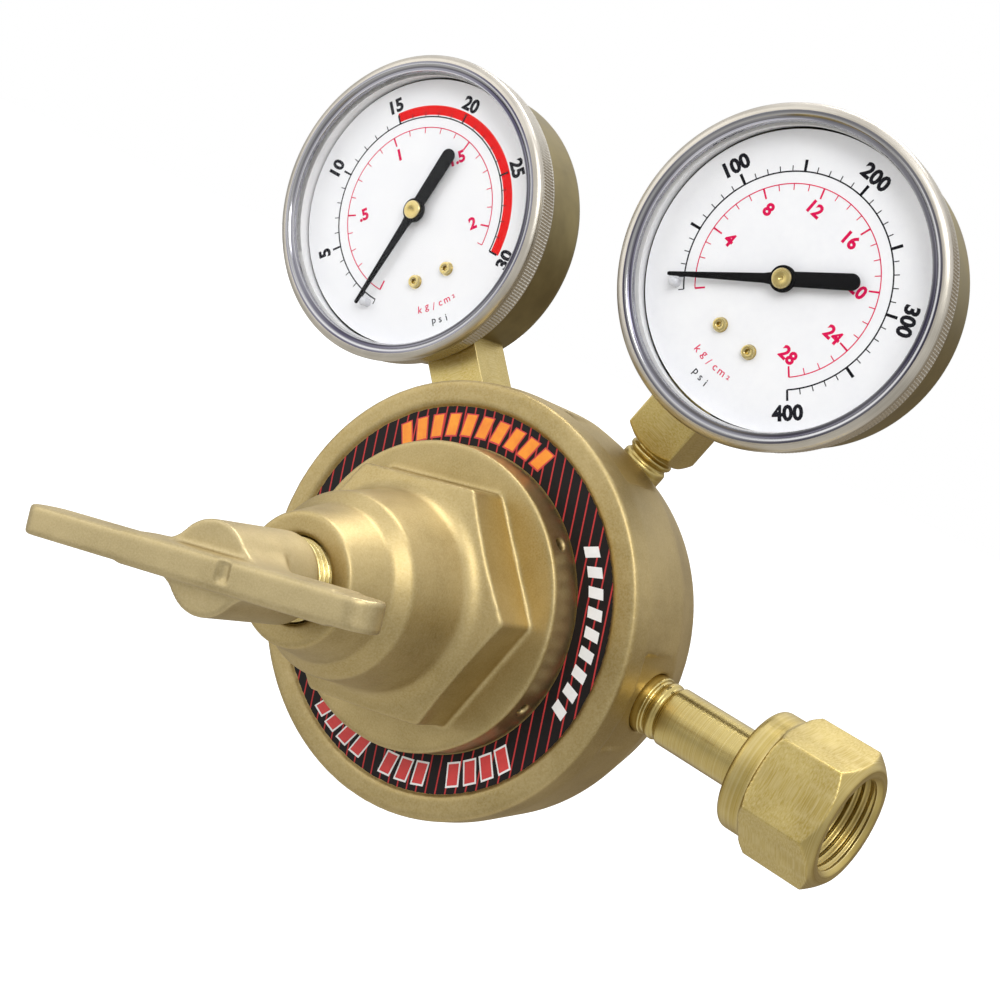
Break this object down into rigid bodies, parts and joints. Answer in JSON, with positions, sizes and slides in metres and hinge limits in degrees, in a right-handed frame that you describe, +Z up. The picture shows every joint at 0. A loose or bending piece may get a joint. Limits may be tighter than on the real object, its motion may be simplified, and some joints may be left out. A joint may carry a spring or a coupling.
{
  "type": "gas regulator",
  "caption": "Fuel-gas pressure regulator with T-handle adjusting screw, twin round dial gauges, swivel inlet nut and threaded hose outlet.",
  "frame": {"origin": "centre of the inlet nut's thread at its outer end, on the inlet axis", "axes": "+X out of the inlet nut towards the cylinder valve, -Y towards the T-handle, +Z up"},
  "size_m": [0.1873, 0.1416, 0.1669],
  "materials": {
    "brass_cast": "satin bead-blasted",
    "brass_turned": "smooth turned",
    "brass_case": "satin lacquered",
    "nickel": "knurled, polished lip",
    "window": "clear polished",
    "gasket": "smooth",
    "dial_enamel": "satin enamel",
    "pointer_black": "satin",
    "label": "printed foil",
    "spring_steel": "drawn wire",
    "diaphragm_rubber": "fabric-reinforced",
    "steel_small": "machined",
    "bronze_tube": "drawn",
    "sintered": "sintered, porous",
    "seat_plastic": "moulded"
  },
  "bodies": {
    "regulator": {"adjusting_spring": "spring_steel", "body": "brass_cast", "bonnet": "brass_cast", "cylinder_bezel": "nickel", "cylinder_bourdon_tube": "bronze_tube", "cylinder_case": "brass_case", "cylinder_case_screws": "steel_small", "cylinder_dial": "dial_enamel", "cylinder_dial_screws": "brass_turned", "cylinder_hairspring": "bronze_tube", "cylinder_lens": "window", "cylinder_movement_frame": "brass_turned", "cylinder_socket": "brass_turned", "cylinder_stop_pin": "steel_small", "cylinder_window_gasket": "gasket", "delivery_bezel": "nickel", "delivery_bourdon_tube": "bronze_tube", "delivery_case": "brass_case", "delivery_case_screws": "steel_small", "delivery_dial": "dial_enamel", "delivery_dial_screws": "brass_turned", "delivery_hairspring": "bronze_tube", "delivery_lens": "window", "delivery_movement_frame": "brass_turned", "delivery_socket": "brass_turned", "delivery_stop_pin": "steel_small", "delivery_window_gasket": "gasket", "diaphragm": "diaphragm_rubber", "inlet_filter": "sintered", "inlet_nipple": "brass_turned", "label_ring": "label", "outlet_fitting": "brass_turned", "slip_ring": "brass_turned", "valve_nozzle": "brass_turned", "valve_spring": "spring_steel"},
    "t_handle": {"t_handle": "brass_cast", "adjusting_screw": "brass_turned"},
    "spring_button": {"spring_button": "steel_small"},
    "inlet_nut": {"inlet_nut": "brass_turned"},
    "diaphragm_plate": {"diaphragm_plate": "brass_turned"},
    "valve_stem": {"valve_stem": "brass_turned", "valve_seat": "seat_plastic"},
    "delivery_pointer": {"delivery_pointer": "pointer_black", "delivery_pointer_hub": "brass_turned", "delivery_pinion": "steel_small"},
    "delivery_sector_gear": {"delivery_sector_gear": "brass_turned"},
    "delivery_link": {"delivery_link": "brass_turned"},
    "cylinder_pointer": {"cylinder_pointer": "pointer_black", "cylinder_pointer_hub": "brass_turned", "cylinder_pinion": "steel_small"},
    "cylinder_sector_gear": {"cylinder_sector_gear": "brass_turned"},
    "cylinder_link": {"cylinder_link": "brass_turned"}
  },
  "joints": [
    {"name": "screw_travel", "type": "slide", "parent": "regulator", "child": "spring_button", "axis": [0, 1, 0], "range_m": [-0.00564, 0.00282], "deforming": ["adjusting_spring"]},
    {"name": "screw_turn", "type": "hinge", "parent": "spring_button", "child": "t_handle", "pos_m": [-0.0893, -0.0802, 0], "axis": [0, 1, 0], "range_deg": [-1440, 720]},
    {"name": "nut_swivel", "type": "hinge", "parent": "regulator", "child": "inlet_nut", "pos_m": [-0.0093, 0, 0], "axis": [1, 0, 0], "continuous": true},
    {"name": "diaphragm_travel", "type": "slide", "parent": "regulator", "child": "diaphragm_plate", "axis": [0, 1, 0], "range_m": [0, 0.0008], "stiffness_N_per_m": 3000, "springref_m": -0.0005, "deforming": ["diaphragm", "adjusting_spring", "valve_spring"]},
    {"name": "valve_travel", "type": "slide", "parent": "regulator", "child": "valve_stem", "axis": [0, 1, 0], "range_m": [0, 0.0008], "deforming": ["valve_spring"]},
    {"name": "delivery_pointer_turn", "type": "hinge", "parent": "regulator", "child": "delivery_pointer", "pos_m": [-0.1514, 0.0056, 0.06706], "axis": [0, 1, 0], "range_deg": [0, 262], "stiffness_Nm_per_rad": 0.000004, "springref_deg": -28.65, "deforming": ["delivery_bourdon_tube", "delivery_hairspring"]},
    {"name": "delivery_sector_swing", "type": "hinge", "parent": "regulator", "child": "delivery_sector_gear", "pos_m": [-0.14257, 0.0096, 0.05752], "axis": [0, 1, 0], "range_deg": [-22, 0]},
    {"name": "delivery_link_swing", "type": "hinge", "parent": "delivery_sector_gear", "child": "delivery_link", "pos_m": [-0.13834, 0.0101, 0.05486], "axis": [0, 1, 0], "range_deg": [0, 22]},
    {"name": "cylinder_pointer_turn", "type": "hinge", "parent": "regulator", "child": "cylinder_pointer", "pos_m": [-0.0618, 0.00561, 0.08716], "axis": [-0.0649, 0.9977, 0.0202], "range_deg": [0, 262], "stiffness_Nm_per_rad": 0.000004, "springref_deg": -28.65, "deforming": ["cylinder_bourdon_tube", "cylinder_hairspring"]},
    {"name": "cylinder_sector_swing", "type": "hinge", "parent": "regulator", "child": "cylinder_sector_gear", "pos_m": [-0.06592, 0.0096, 0.07483], "axis": [-0.0649, 0.9977, 0.0202], "range_deg": [-22, 0]},
    {"name": "cylinder_link_swing", "type": "hinge", "parent": "cylinder_sector_gear", "child": "cylinder_link", "pos_m": [-0.06616, 0.01019, 0.06985], "axis": [-0.0649, 0.9977, 0.0202], "range_deg": [0, 22]}
  ],
  "couplings": [
    {"joint": "screw_turn", "follows": "screw_travel", "rad_per_m": 4452.7},
    {"joint": "valve_travel", "follows": "diaphragm_travel", "ratio": 1},
    {"joint": "delivery_sector_swing", "follows": "delivery_pointer_turn", "ratio": -0.083333},
    {"joint": "delivery_link_swing", "follows": "delivery_pointer_turn", "ratio": 0.083333},
    {"joint": "cylinder_sector_swing", "follows": "cylinder_pointer_turn", "ratio": -0.083333},
    {"joint": "cylinder_link_swing", "follows": "cylinder_pointer_turn", "ratio": 0.083333}
  ]
}
